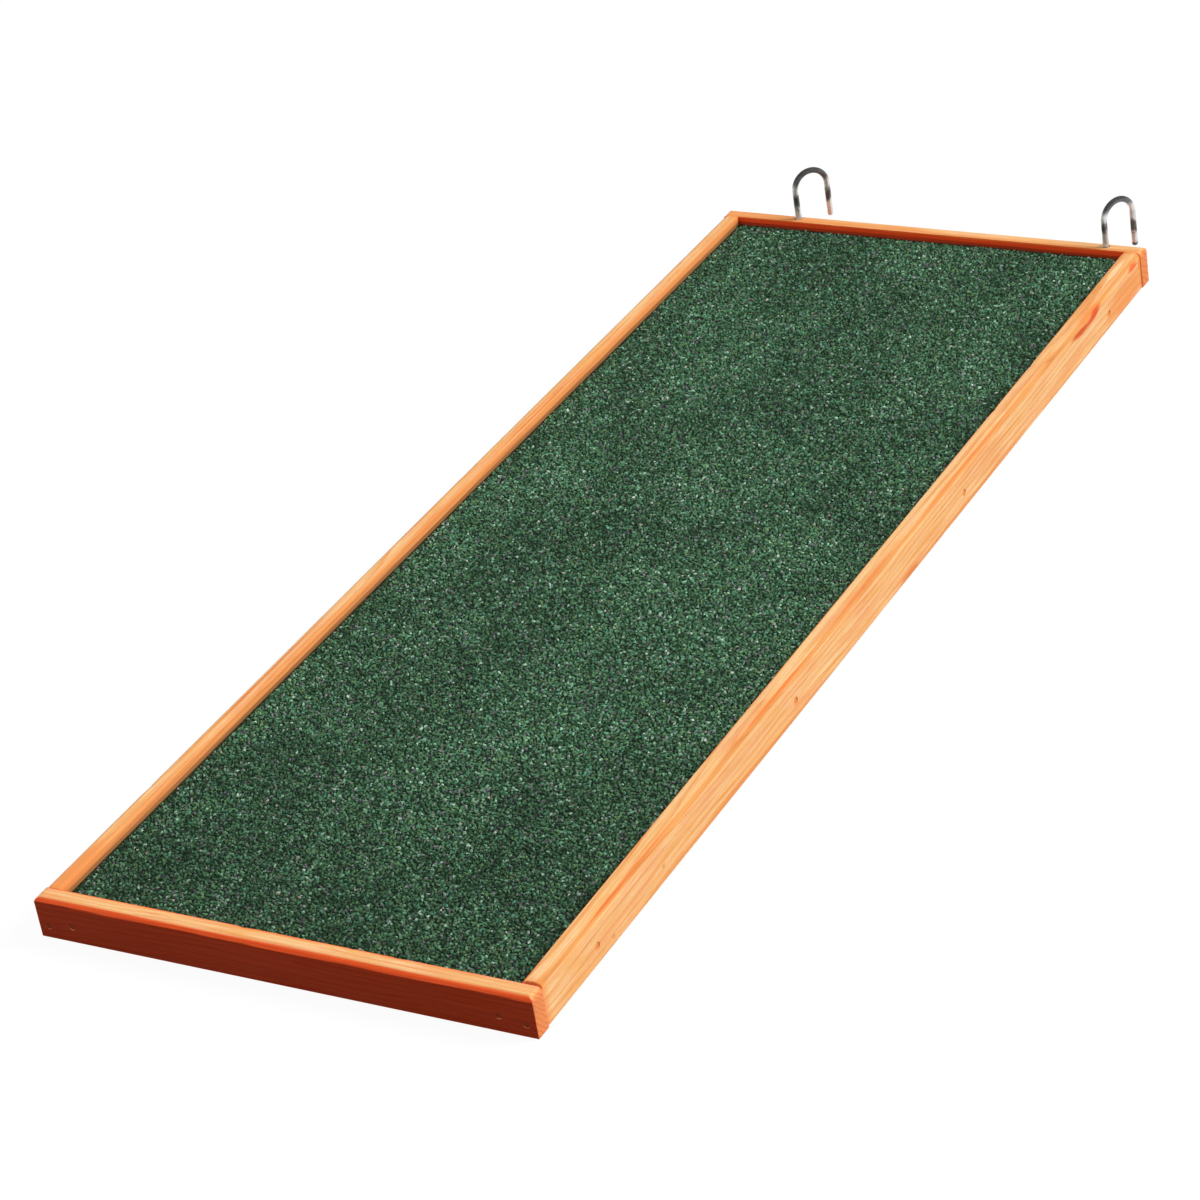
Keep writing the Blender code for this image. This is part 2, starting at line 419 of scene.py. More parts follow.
# %% Growth rings
grain_bends = (((0.007, 0.045, 0.045), 11.0), ((0.045, 0.35, 0.35), 1.2))
ring_tones = [(0.0, grey(0.30)), (0.10, grey(0.0)), (0.60, grey(0.10)),
              (0.86, grey(0.70)), (0.95, grey(1.0)), (1.0, grey(0.30))]


def bent_grain(tree, place, slat):
    """Coordinates with X along the grain and the heart of the tree at 0, straight, and bent as a trunk is."""
    from_heart = vector_calc(tree, "SUBTRACT", place, slat.heart)
    quarter = -pi / 2 if slat.along == "Y" else 0.0
    inputs = {"Vector": from_heart, "Rotation": (*slat.lean, quarter)}
    grain = node(tree, "Mapping", inputs).outputs["Vector"]
    bent = grain
    for stretch, reach in grain_bends:
        drift = vector_calc(tree, "SUBTRACT", cloudy(tree, grain, stretch, output="Color"), (0.5,) * 3)
        bent = vector_calc(tree, "ADD", bent, vector_calc(tree, "MULTIPLY", drift, (0.0, reach, reach)))
    return grain, bent


def late_wood(tree, bent, ring_width):
    """The rings by their distance from the heart: 1 on the hard line that ends each of them."""
    across = vector_calc(tree, "LENGTH", vector_calc(tree, "MULTIPLY", bent, (0.0, 1.0, 1.0)))
    return ramp(tree, calc(tree, "FRACT", calc(tree, "DIVIDE", across, ring_width)), ring_tones)

# %% Layers of colour
coat_strength = 0.95
coat_thinner = -0.06
coat_shade = (0.64, 0.48, 0.46)
seam_ragged = 0.5
seam_full = 0.2


def lay(tree, colour, pattern, strength, glaze):
    """Lay a glaze over the colour where the pattern is 1, strength being its share at most."""
    return blend(tree, calc(tree, "MULTIPLY", pattern, strength), colour, glaze)


def wiped_wood(tree, grain, bent, late, fibre):
    """The thin pale glaze of the wiped faces, with what the grain makes of it."""
    brushed = noisy(tree, grain, (0.014, 0.60, 0.60), 0.38, 0.64, roughness=0.6)
    rosy = noisy(tree, grain, (0.030, 0.16, 0.16), 0.42, 0.66, roughness=0.6)
    honey = noisy(tree, bent, (0.050, 0.40, 0.40), 0.46, 0.68, roughness=0.6)
    lines = calc(tree, "MULTIPLY", late, calc(tree, "MULTIPLY_ADD", fibre, 0.50, 0.45))
    pores = noisy(tree, grain, (0.14, 3.4, 3.4), 0.60, 0.70, roughness=0.6)
    colour = glaze_pale
    for pattern, strength, glaze in ((brushed, 1.0, glaze_cream), (rosy, 0.55, glaze_rosy),
                                     (honey, 0.60, glaze_honey), (lines, 1.0, glaze_amber),
                                     (fibre, 0.34, glaze_amber), (pores, 0.40, pore_brown)):
        colour = lay(tree, colour, pattern, strength, glaze)
    return colour


def lay_coat(tree, colour, layer, late, fibre):
    """Lay a coat over the faces that look its way. It is thinner and darker along the fibres."""
    straight = calc(tree, "MULTIPLY_ADD", fibre, coat_thinner, looking(tree, layer.direction))
    pattern = fade(tree, straight, layer.first, layer.full)
    if layer.out:
        start, stop = layer.out
        pattern = calc(tree, "MULTIPLY", pattern, fade(tree, straight, stop, start))
    dark = vector_calc(tree, "MULTIPLY", layer.glaze[:3], coat_shade)
    shade = calc(tree, "MULTIPLY_ADD", late, layer.rings, calc(tree, "MULTIPLY", fibre, 0.25))
    return lay(tree, colour, pattern, coat_strength, blend(tree, shade, layer.glaze, dark))


def lay_seam(tree, colour, step, joint, fibre):
    """Lay the glaze that gathered in a joint. step is the place along the grain."""
    distance = calc(tree, "ABSOLUTE", calc(tree, "SUBTRACT", step, joint.place))
    ragged = calc(tree, "MULTIPLY_ADD", fibre, seam_ragged, distance)
    return lay(tree, colour, fade(tree, ragged, joint.reach, seam_full), joint.strength, joint.glaze)

# %% Pine material
# How strong the painted shade beside the felt is.
felt_shade_strength = 0.50
pine_relief = 0.05 * MM


def pine(name, slat, streaks):
    """Glazed pine for one slat, with its own grain, coats, seams and streaks. Some coats and the dark line
    beside the felt are painted shade.
    """
    material, tree, shader = new_material(name)
    place = place_in_mm(tree)
    grain, bent = bent_grain(tree, place, slat)
    late = late_wood(tree, bent, slat.ring)
    fibre = noisy(tree, grain, (0.035, 2.2, 2.2), 0.36, 0.66, detail=4.0, roughness=0.6)
    colour = wiped_wood(tree, grain, bent, late, fibre)
    for layer in slat.coats:
        colour = lay_coat(tree, colour, layer, late, fibre)
    for joint in slat.seams:
        colour = lay_seam(tree, colour, component(tree, place, slat.along), joint, fibre)
    for mark in streaks:
        colour = lay(tree, colour, ellipsoid(tree, place, mark, fibre), mark.strength, mark.glaze)
    # A dark line of painted shade where the rails meet the felt.
    colour = lay(tree, colour, shade_beside_felt(tree, place), felt_shade_strength, felt_edge_shade_black)
    height = calc(tree, "MULTIPLY_ADD", late, 0.6, fibre)
    fill(tree, shader, {"Base Color": colour, "Roughness": calc(tree, "MULTIPLY_ADD", fibre, 0.14, 0.50),
                        "Specular IOR Level": 0.08, "Normal": relief(tree, height, pine_relief)})
    return material

# %% [markdown]
# ## The rails
#
# A slat is a long box with its upper outer edge rounded and its other edges just eased. It starts as a
# cube that is scaled to the solid's own box, and the bevel operator does both kinds of edge. On the two
# end rails the upper edge is rounded over at the ends as well. There the bevel would have to stop halfway
# down a corner, so the mesh is cut finely and what stands outside a quarter circle is drawn back onto it.
#
# Real slats are never that true, though. The faces are cut into cells of about two millimetres, and each
# corner of a cell is moved a little into the wood by slow noise, by the grain, and by a few knocks along
# the edges. The vertices only ever move inwards, so the slat stays inside its solid, and never upwards, so
# that it stays flat on the floor.

# %% Cutting and rounding
edge_segments = 8
ease_segments = 3
sharp_angle = radians(60)
cut_tolerance = 1e-7


def cut_square(bm, axis, place):
    """Cut the whole mesh square to an axis at one place."""
    square = Vector([1.0 if index == axis else 0.0 for index in range(3)])
    bmesh.ops.bisect_plane(bm, geom=bm.verts[:] + bm.edges[:] + bm.faces[:], dist=cut_tolerance,
                           plane_co=square * place, plane_no=square)


def cut_into_cells(bm, axis, low, high, pitch):
    """Cut the mesh square to an axis, in steps of about pitch between two places."""
    count = max(1, round((high - low) / pitch))
    for number in range(count + 1):
        cut_square(bm, axis, low + (high - low) * number / count)


def sharp_edges(bm):
    return [edge for edge in bm.edges if edge.calc_face_angle(0.0) > sharp_angle]


def bevel(bm, edges, width, segments=ease_segments):
    bmesh.ops.bevel(bm, geom=edges, offset=width, segments=segments, profile=0.5, affect="EDGES", material=-1)

# %% A slat
edge_radius = 2.2 * MM
edge_ease = 0.30 * MM
first_cut = 1.5 * edge_ease
cell_along = 2.0 * MM
cell_across = 1.5 * MM
nearly_whole = 0.9


def rounded_slat(low, high, along, outward, ends_ease):
    """along is the index of the long axis, and outward the direction that the rounded edge looks to."""
    size, middle = size_and_middle(low, high)
    bm = bmesh.new()
    bmesh.ops.create_cube(bm, size=1.0)
    fit(bm, size, middle)
    rounded = []
    for edge in bm.edges:
        a, b = (vertex.co - middle for vertex in edge.verts)
        runs_along = a[along] * b[along] < 0.0
        if runs_along and a.z > 0.0 and b.z > 0.0 and a.dot(outward) > 0.0 and b.dot(outward) > 0.0:
            rounded.append(edge)
    bevel(bm, rounded, edge_radius, edge_segments)
    bevel(bm, [edge for edge in sharp_edges(bm) if edge.calc_length() > size[along] / 2], edge_ease)
    bevel(bm, sharp_edges(bm), ends_ease)
    across = 1 - along
    cut_into_cells(bm, 2, low[2] + first_cut, high[2] - edge_radius, cell_across)
    cut_into_cells(bm, across, low[across] + edge_radius, high[across] - edge_radius, cell_across)
    long_edges = [edge for edge in bm.edges if edge.calc_length() > nearly_whole * size[along]]
    cuts = round(size[along] / cell_along)
    bmesh.ops.subdivide_edges(bm, edges=long_edges, cuts=cuts, use_grid_fill=True)
    return bm

# %% Rounded ends
end_steps = 7


def round_ends(bm, low, high, along):
    """Round the upper edge over at both ends of a slat."""
    for step in range(1, end_steps):
        depth = edge_radius * (1.0 - sin(pi / 2 * step / end_steps))
        cut_square(bm, 2, high[2] - depth)
        cut_square(bm, along, low[along] + depth)
        cut_square(bm, along, high[along] - depth)
    for vertex in bm.verts:
        sign = 1.0 if vertex.co[along] > (low[along] + high[along]) / 2 else -1.0
        centre = (high if sign > 0.0 else low)[along] - sign * edge_radius
        outwards = (vertex.co[along] - centre) * sign
        upwards = vertex.co.z - (high[2] - edge_radius)
        distance = hypot(outwards, upwards)
        if outwards > 0.0 and upwards > 0.0 and distance > edge_radius:
            vertex.co[along] = centre + sign * outwards * edge_radius / distance
            vertex.co.z = high[2] - edge_radius + upwards * edge_radius / distance

# %% Wear
merge_below = 0.01 * MM
bow_depth = 0.10 * MM
bow_waves = (0.008, 0.10)
grain_depth = 0.035 * MM
grain_waves = (0.05, 0.80)
mean_depth = 0.6
knock_count = 9
knock_radius = 1.6 * MM
knock_depth = 0.20 * MM
knock_strengths = (0.5, 1.3)
seed_shift = Vector((7.0, 3.0, 0.0))


def wavy(place, along, waves, shift):
    """Noise with its own number of waves per mm along the grain and across it."""
    along_grain, across_grain = waves
    scaled = [value * (along_grain if axis == along else across_grain) for axis, value in enumerate(place)]
    return noise.noise(Vector(scaled) + shift)


def weather(bm, low, high, along, seed):
    """Move every vertex a little into the wood. The ends stay in line, so that the joints stay tight."""
    dice = random.Random(seed)
    knocks = []
    for number in range(knock_count):
        knock = [dice.choice((a, b)) for a, b in zip(low, high)]
        knock[along] = dice.uniform(low[along], high[along])
        knocks.append((Vector(knock), dice.uniform(*knock_strengths)))
    shift = seed_shift * seed
    bmesh.ops.remove_doubles(bm, verts=bm.verts, dist=merge_below)
    bm.normal_update()
    for vertex in bm.verts:
        place = vertex.co / MM
        depth = bow_depth * (mean_depth + wavy(place, along, bow_waves, shift))
        depth += grain_depth * (mean_depth + wavy(place, along, grain_waves, shift))
        for knock, strength in knocks:
            distance = (vertex.co - knock).length / (knock_radius * strength)
            depth += knock_depth * strength * exp(-distance ** 2)
        inwards = -vertex.normal
        inwards[along] = 0.0
        inwards.z = min(0.0, inwards.z)
        vertex.co += inwards * max(0.0, depth)

# %% [markdown]
# ## Nails and their holes
#
# Thin wire nails hold the rails, driven a little below the surface and glazed over. A nail is a turned
# shape: half of its outline, spun round its own axis. The same function makes the hole for it, a little
# wider, and all holes together are cut out of a rail with one Boolean modifier, whose result is kept as
# the rail's own mesh. The nails' places are read from the frame's solids: the longest side of a nail's box
# is its axis, and the head is at the end that looks away from the ramp. The screw hooks stand in pilot
# holes that are made the same way, round the axes of their joints.

# %% Turned shapes
pole_merge = 0.002 * MM


def standing(foot, direction):
    """The matrix that turns +Z to a direction and moves the origin to a foot."""
    return Matrix.Translation(foot) @ Vector(direction).to_track_quat("Z", "Y").to_matrix().to_4x4()


def turned_shape(outline, steps, matrix):
    """Spin (radius, height) points round the Z axis, close the poles, and move the shape to its place."""
    bm = bmesh.new()
    corners = [bm.verts.new((radius, 0.0, height)) for radius, height in outline]
    edges = [bm.edges.new(pair) for pair in zip(corners, corners[1:])]
    bmesh.ops.spin(bm, geom=corners + edges, cent=(0.0, 0.0, 0.0), axis=(0.0, 0.0, 1.0),
                   angle=2 * pi, steps=steps, use_merge=True)
    bmesh.ops.remove_doubles(bm, verts=bm.verts, dist=pole_merge)
    bmesh.ops.recalc_face_normals(bm, faces=bm.faces)
    bmesh.ops.transform(bm, matrix=matrix, verts=bm.verts)
    return bm

# %% Nails in the frame
nail_head_radius = 1.00 * MM
nail_head_height = 0.60 * MM
nail_rim = 0.12 * MM
nail_shank_radius = 0.55 * MM
nail_point = 1.6 * MM
nail_sides = 28
hole_reach = 1.0 * MM


def nail_outline(length, gap):
    """The head's top is at height 0. A gap above 0 gives the hole for the nail."""
    head = nail_head_radius + gap
    shank = nail_shank_radius + gap
    base = -nail_head_height - gap
    top = [(0.0, 0.0), (head - nail_rim, 0.0), (head, -nail_rim)]
    if gap > 0.0:
        top = [(0.0, hole_reach), (head + hole_reach / 2, hole_reach), (head, -gap)]
    return top + [(head, base), (shank, base - gap), (shank, -length + nail_point), (0.0, -length - gap)]


def nail_axis(node_name):
    """(place of the head, direction that it looks, length) of one of the frame's nails."""
    size, middle = size_and_middle(*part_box(node_name))
    axis = max(range(3), key=lambda index: size[index])
    sign = 1.0 if middle[axis] > 0.0 else -1.0
    outward = Vector([sign if index == axis else 0.0 for index in range(3)])
    return middle + outward * size[axis] / 2, outward, size[axis]


nails = {name: nail_axis(name) for name in sorted(frame["nodes"]) if "_nail_" in name}
print(len(nails), "nails")

# %% Hooks in the frame
hook_wire = 1.2 * MM
hook_bend = 7.0 * MM
hook_turns = {"left": radians(50), "right": radians(60)}
Hook = namedtuple("Hook", "side turn foot bend_height")
joints = {joint["name"]: joint for joint in frame["joints"]}
hooks = []
for side, turned in hook_turns.items():
    low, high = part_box("screw_hook_" + side)
    axis = joints[side + "_hook_turn"]["pos_m"]
    foot = Vector((axis[0], axis[1], low[2]))
    hooks.append(Hook(side, turned, foot, high[2] - hook_wire - hook_bend))
    print(side, "hook: bend begins at height", round(hooks[-1].bend_height / MM, 1), "mm")

# %% Cutter with every hole
nail_hole_gap = 0.06 * MM
hook_hole = 1.5 * MM
hook_hole_below = 0.3 * MM
hook_hole_sides = 32
point_length = 4.0 * MM
rail_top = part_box("end_rail_back")[1][2]
holes_bm = bmesh.new()
scrap = bpy.data.meshes.new("scrap")


def add_hole(outline, steps, matrix):
    """Join one hole to the cutter, by way of a scrap mesh."""
    hole = turned_shape(outline, steps, matrix)
    hole.to_mesh(scrap)
    hole.free()
    holes_bm.from_mesh(scrap)


for head, outward, length in nails.values():
    add_hole(nail_outline(length, nail_hole_gap), nail_sides, standing(head, outward))
for hook in hooks:
    end = hook.foot.z - hook_hole_below
    outline = [(0.0, rail_top + hole_reach), (hook_hole, rail_top + hole_reach),
               (hook_hole, end + point_length), (0.0, end)]
    add_hole(outline, hook_hole_sides, Matrix.Translation((hook.foot.x, hook.foot.y, 0.0)))
holes = add_object("holes", mesh_from(holes_bm, "holes"))
print("cutter:", len(holes.data.polygons), "faces")


def drill(piece):
    """Cut every hole that touches the piece, and keep the result as the piece's own mesh."""
    cut = piece.modifiers.new("holes", "BOOLEAN")
    cut.operation = "DIFFERENCE"
    cut.solver = "EXACT"
    cut.object = holes
    bpy.context.view_layer.update()
    evaluated = piece.evaluated_get(bpy.context.evaluated_depsgraph_get())
    drilled = bpy.data.meshes.new_from_object(evaluated)
    piece.modifiers.clear()
    piece.data = drilled
    print(f"{piece.name} drilled: {len(drilled.polygons)} faces")

# %% [markdown]
# ## Four slats
#
# The two side rails lie between the two end rails, which run the full width and cover their ends. Each
# slat came from another board, so each gets its own heart, its own lean of the grain and its own places
# where the glaze is thick. The faces that look to the front, on the front rail and inside the back rail,
# are painted darker and redder as painted shade. On the front rail this makes the front a deep red brown,
# and the rounded edge above it bright orange.

# %% Glaze and painted shade on the rails
to_left, to_right = Vector((-1.0, 0.0, 0.0)), Vector((1.0, 0.0, 0.0))
to_front, to_back = Vector((0.0, -1.0, 0.0)), Vector((0.0, 1.0, 0.0))
joint_front, joint_back = -248.5, 238.4
end_grain = (0.920, 0.290, 0.095, 1.0)
# Painted shade on the rounded outer edges of the side rails.
edge_shade_tan = (0.810, 0.355, 0.108, 1.0)
joint_red = (0.380, 0.036, 0.006, 1.0)
knot_red = (0.760, 0.090, 0.020, 1.0)
knot_brown = (0.680, 0.092, 0.016, 1.0)
knot_halo = (0.800, 0.235, 0.055, 1.0)
streak_orange = (0.800, 0.210, 0.048, 1.0)
nail_mark = 2.0
nail_mark_strength = 0.9


def inner_face(direction, edge):
    """The face that looks at the felt, tan, and the glaze on the edge above it."""
    return [Coat(direction, glaze_tan, 0.35, 0.95), Coat(direction, edge, 0.10, 0.35, out=(0.60, 0.90))]


def shaded_outer_edge(direction):
    """The rounded outer edge of a side rail, painted a darker tan as painted shade."""
    return [Coat(direction, edge_shade_tan, 0.20, 0.55, out=(0.80, 0.97))]


def end_faces():
    return [Coat(direction, end_grain, 0.40, 0.90, rings=0.50) for direction in (to_left, to_right)]


def nail_marks(low, high):
    """Marks over the nail heads of one rail, given by its box: glaze that filled the holes, and painted shade
    on the front.
    """
    marks = []
    for head, outward, length in nails.values():
        if all(a - MM < place < b + MM for a, place, b in zip(low, head, high)):
            # Heads that look to the front take the deep red brown of the painted shade on the front face.
            glaze = front_shade_brown if outward.dot(to_front) > 0.5 else glaze_amber
            marks.append(Streak(head / MM, (nail_mark,) * 3, glaze, strength=nail_mark_strength))
    return marks

# %% Knots and streaks of each rail
left_streaks = [
    Streak((-87.5, -120.0, 15.0), (0.7, 60.0, 0.5), streak_orange, (0.0, 0.0, 0.004)),
    Streak((-85.0, 70.0, 15.0), (0.6, 50.0, 0.5), streak_orange, (0.0, 0.0, -0.005)),
    Streak((-84.1, 0.0, 15.0), (1.5, 600.0, 1.0), glaze_orange, strength=0.50),
    Streak((-85.8, -238.0, 15.0), (6.0, 28.0, 4.0), glaze_orange, strength=0.80),
]
right_streaks = [
    Streak((84.9, 0.0, 15.0), (1.5, 250.0, 1.0), glaze_cream, strength=0.55),
    Streak((90.0, 187.0, 13.9), (4.5, 14.0, 2.6), knot_halo, (0.02, 0.0, 0.0), 0.60),
    Streak((90.0, 177.0, 12.1), (4.0, 12.5, 2.1), knot_brown, (-0.08, 0.0, 0.0), 0.95),
    Streak((90.0, 190.5, 12.4), (4.0, 9.5, 2.2), knot_red, (0.15, 0.0, 0.0), 0.95),
    Streak((88.9, 75.0, 14.7), (0.9, 62.0, 0.9), streak_orange, (0.0, 0.0, -0.004), 0.60),
    Streak((88.6, -20.0, 14.8), (1.0, 44.0, 0.9), streak_orange, (0.0, 0.0, 0.006), 0.65),
    Streak((88.9, -85.0, 14.7), (0.9, 40.0, 0.9), streak_orange, (0.0, 0.0, -0.006), 0.85),
    Streak((88.8, -190.0, 14.7), (0.8, 48.0, 0.8), streak_orange, (0.0, 0.0, 0.005), 0.80),
    Streak((90.0, -120.0, 1.0), (1.5, 90.0, 1.4), glaze_amber, strength=0.8),
    Streak((90.0, 60.0, 0.8), (1.5, 70.0, 1.4), glaze_amber, strength=0.8),
    Streak((90.0, 17.0, 1.4), (1.5, 11.0, 1.8), streak_orange, strength=0.75),
    Streak((88.9, -203.0, 14.7), (0.9, 16.0, 0.9), knot_red, (0.0, 0.0, -0.006), 0.30),
    Streak((90.0, -171.4, 5.4), (1.0, 1.5, 1.0), pore_brown, strength=0.50),
    Streak((90.0, -205.8, 2.9), (1.0, 1.6, 1.1), pore_brown, strength=0.50),
    Streak((90.0, 222.0, 5.0), (1.5, 26.0, 9.0), glaze_orange, strength=0.7),
    Streak((87.0, -248.3, 14.6), (6.8, 1.5, 3.2), joint_red, strength=0.90),
    Streak((86.4, 222.0, 15.0), (1.8, 13.0, 1.5), glaze_cream, strength=0.9),
    Streak((89.8, 231.0, 12.6), (1.5, 7.0, 1.8), glaze_red, strength=0.8),
    Streak((90.0, 237.6, 11.0), (2.0, 2.4, 3.8), glaze_orange, strength=0.8),
]
front_streaks = [
    Streak((0.0, -248.9, 15.0), (300.0, 0.9, 0.8), glaze_red, strength=0.55),
]
back_streaks = [
    Streak((-70.0, 241.4, 15.0), (95.0, 3.2, 1.5), glaze_orange, strength=0.60),
    Streak((0.0, 239.2, 15.0), (300.0, 2.0, 1.2), glaze_orange, strength=0.45),
    # A pale strip painted over the shaded step where the back rail stands past the right rail: painted light.
    Streak((90.4, 238.3, 8.0), (2.0, 1.1, 18.0), glaze_tan, strength=0.95),
]
print("streaks:", [len(streaks) for streaks in (left_streaks, right_streaks, front_streaks, back_streaks)])

# %% How each slat differs
slats = {
    "side_rail_left": Slat(
        along="Y", heart=(-118.0, 0.0, -30.0), lean=(0.0, 0.012), ring=2.3, outward=to_left, seed=1,
        coats=inner_face(to_right, glaze_orange) + shaded_outer_edge(to_left),
        streaks=left_streaks,
        seams=[Seam(joint_front, glaze_orange, 3.0, 0.8), Seam(joint_back, glaze_orange, 2.5, 0.7)]),
    "side_rail_right": Slat(
        along="Y", heart=(58.0, 0.0, -36.0), lean=(0.0, -0.010), ring=2.3, outward=to_right, seed=2,
        coats=inner_face(to_left, glaze_red) + shaded_outer_edge(to_right),
        streaks=right_streaks,
        seams=[Seam(joint_front, glaze_orange, 4.5, 0.75), Seam(joint_back, glaze_orange, 3.2, 0.80)]),
    "end_rail_front": Slat(
        along="X", heart=(0.0, -291.0, -38.0), lean=(0.0, 0.010), ring=1.5, outward=to_front, seed=3,
        # The two coats that look to the front, red on the rounded edge and deep red brown on the face, are
        # painted shade.
        coats=[*inner_face(to_back, glaze_red), Coat(to_front, glaze_red, 0.20, 0.62),
               Coat(to_front, front_shade_brown, 0.90, 0.94), *end_faces()],
        streaks=front_streaks, seams=[]),
    "end_rail_back": Slat(
        along="X", heart=(0.0, 262.0, 44.0), lean=(0.0, -0.008), ring=2.3, outward=to_back, seed=4,
        # The coat that looks to the front, on the back rail's inner face, is painted shade.
        coats=[Coat(to_front, back_shade_red, 0.15, 0.60), Coat(to_back, glaze_orange, 0.35, 0.95), *end_faces()],
        streaks=back_streaks, seams=[]),
}

# %% Rails
joint_room = 0.28 * MM
end_ease = 0.20 * MM
saw_ease = 0.08 * MM

for name, slat in slats.items():
    low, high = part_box(name)
    along = "XYZ".index(slat.along)
    marks = slat.streaks + nail_marks(low, high)
    is_side_rail = slat.along == "Y"
    if is_side_rail:
        low[along] -= joint_room
        high[along] += joint_room
    bm = rounded_slat(low, high, along, slat.outward, saw_ease if is_side_rail else end_ease)
    if not is_side_rail:
        round_ends(bm, low, high, along)
    weather(bm, low, high, along, slat.seed)
    rail = new_piece(name + "_slat", bm, pine(name + "_pine", slat, marks),
                     stands_for=[name], smooth_angle=radians(35))
    drill(rail)

bpy.data.objects.remove(holes, do_unlink=True)
bpy.data.meshes.remove(scrap)

# %% [markdown]
# ## Nail steel
#
# The heads were driven just under the surface and the glaze ran over them, so each is a small dull disc
# in the colour round it: amber glaze on most, and on the front of the ramp the deep red brown of the painted
# shade there. The direction that a head looks says which. Noise decides how much of the steel still shows,
# and none shows on the heads that look to the front.

# %% Nails
steel_grey = (0.40, 0.24, 0.15, 1.0)
# The deep red brown of the painted shade on the front, for the nail heads there.
head_front_shade = (0.200, 0.018, 0.003, 1.0)


def glazed_and_shaded_steel():
    material, tree, shader = new_material("glazed_and_shaded_nail_steel")
    place = place_in_mm(tree)
    front = looking(tree, to_front)
    # Heads that look to the front are painted the red brown of the painted shade there, and show no steel.
    glaze = blend(tree, fade(tree, front, 0.4, 0.8), glaze_amber, head_front_shade)
    worn = noisy(tree, place, (0.9,) * 3, 0.52, 0.70)
    worn = calc(tree, "MULTIPLY", worn, fade(tree, front, 0.8, 0.4))
    height = cloudy(tree, place, (6.0,) * 3)
    fill(tree, shader, {"Base Color": blend(tree, worn, glaze, steel_grey), "Roughness": 0.50,
                        "Metallic": calc(tree, "MULTIPLY", worn, 0.5), "Specular IOR Level": 0.10,
                        "Normal": relief(tree, height, 0.03 * MM)})
    return material


nail_finish = glazed_and_shaded_steel()
for name, (head, outward, length) in nails.items():
    bm = turned_shape(nail_outline(length, 0.0), nail_sides, standing(head, outward))
    new_piece(name + "_wire", bm, nail_finish, stands_for=[name], smooth_angle=radians(30))

# %% [markdown]
# ## The board
#
# Under the felt lies a thin plywood board, which only shows from below. Its solid has the right shape, so
# it stays and gets a material. The two faces are peeled veneer, with broad, slow figure along the ramp,
# and the edges show the plies as stripes, which come from the height alone.

# %% Plywood
ply_pale = (0.660, 0.455, 0.255, 1.0)
ply_brown = (0.470, 0.275, 0.130, 1.0)
ply_count = 5
ply_rings = 26.0


def plywood():
    material, tree, shader = new_material("plywood")
    place = place_in_mm(tree)
    bent = cloudy(tree, place, (0.010, 0.0035, 0.02), detail=3.0)
    rings = calc(tree, "FRACT", calc(tree, "MULTIPLY", bent, ply_rings))
    fibre = noisy(tree, place, (1.8, 0.05, 1.8), 0.35, 0.65, detail=4.0)
    shade = calc(tree, "MULTIPLY_ADD", fade(tree, rings, 0.35, 1.0), 0.45, calc(tree, "MULTIPLY", fibre, 0.3))
    veneer = blend(tree, shade, ply_pale, ply_brown)
    low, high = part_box("base_board")
    two_plies = 2 * (high[2] - low[2]) / ply_count / MM
    above = calc(tree, "SUBTRACT", component(tree, place, "Z"), low[2] / MM)
    layer = calc(tree, "FRACT", calc(tree, "DIVIDE", above, two_plies))
    edge = blend(tree, calc(tree, "GREATER_THAN", layer, 0.5), ply_pale, ply_brown)
    upright = calc(tree, "ABSOLUTE", looking(tree, (0.0, 0.0, 1.0)))
    fill(tree, shader, {"Base Color": blend(tree, fade(tree, upright, 0.3, 0.7), edge, veneer),
                        "Roughness": calc(tree, "MULTIPLY_ADD", fibre, 0.15, 0.62),
                        "Normal": relief(tree, fibre, 0.06 * MM)})
    return material


board = frame["nodes"]["base_board"]
board.data.materials.clear()
board.data.materials.append(plywood())
print("board:", ply_count, "plies")

# %% [markdown]
# ## The felt
#
# Mineral roofing felt is a sheet of bitumen with crushed slate rolled into it. From a step away it could be
# a bumpy green plane, but the stones are one to two millimetres long and each catches the light in its own
# way, so they are modelled: a few dozen broken shapes, made by pushing the corners of a blunt pyramid
# about, are strewn over the sheet in a jittered grid, each turned and tilted at random. One small mesh is
# moved to each place, joined to the rest and moved back, which is quick and keeps each stone a closed shape.
#
# Each stone carries a number, its tone, in a face attribute. The material turns that number into one of
# the colours in the mix: mostly dark and middling greens, some greys, a few mint or pinkish white.

# %% Felt sheet
felt_low, felt_high = (Vector(corner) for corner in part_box("mineral_felt"))
stone_room = 0.75 * MM
sheet_top = felt_high.z - stone_room
sheet_cell = 3.0 * MM
sheet_wave = 0.16 * MM
waves_across, waves_along = 0.025, 0.020
sheet_dark = (0.012, 0.020, 0.014, 1.0)
sheet_green = (0.034, 0.070, 0.042, 1.0)


def wave(x, y):
    """How far the felt rises and sinks at a place, between -sheet_wave and +sheet_wave."""
    return sheet_wave * noise.noise(Vector((x / MM * waves_across, y / MM * waves_along, 0.0)))


def bitumen():
    material, tree, shader = new_material("bitumen_sheet")
    grit = cloudy(tree, place_in_mm(tree), (1.6,) * 3, detail=3.0)
    colour = blend(tree, fade(tree, grit, 0.42, 0.62), sheet_dark, sheet_green)
    fill(tree, shader, {"Base Color": colour, "Roughness": 0.85, "Specular IOR Level": 0.25,
                        "Normal": relief(tree, grit, 0.35 * MM)})
    return material


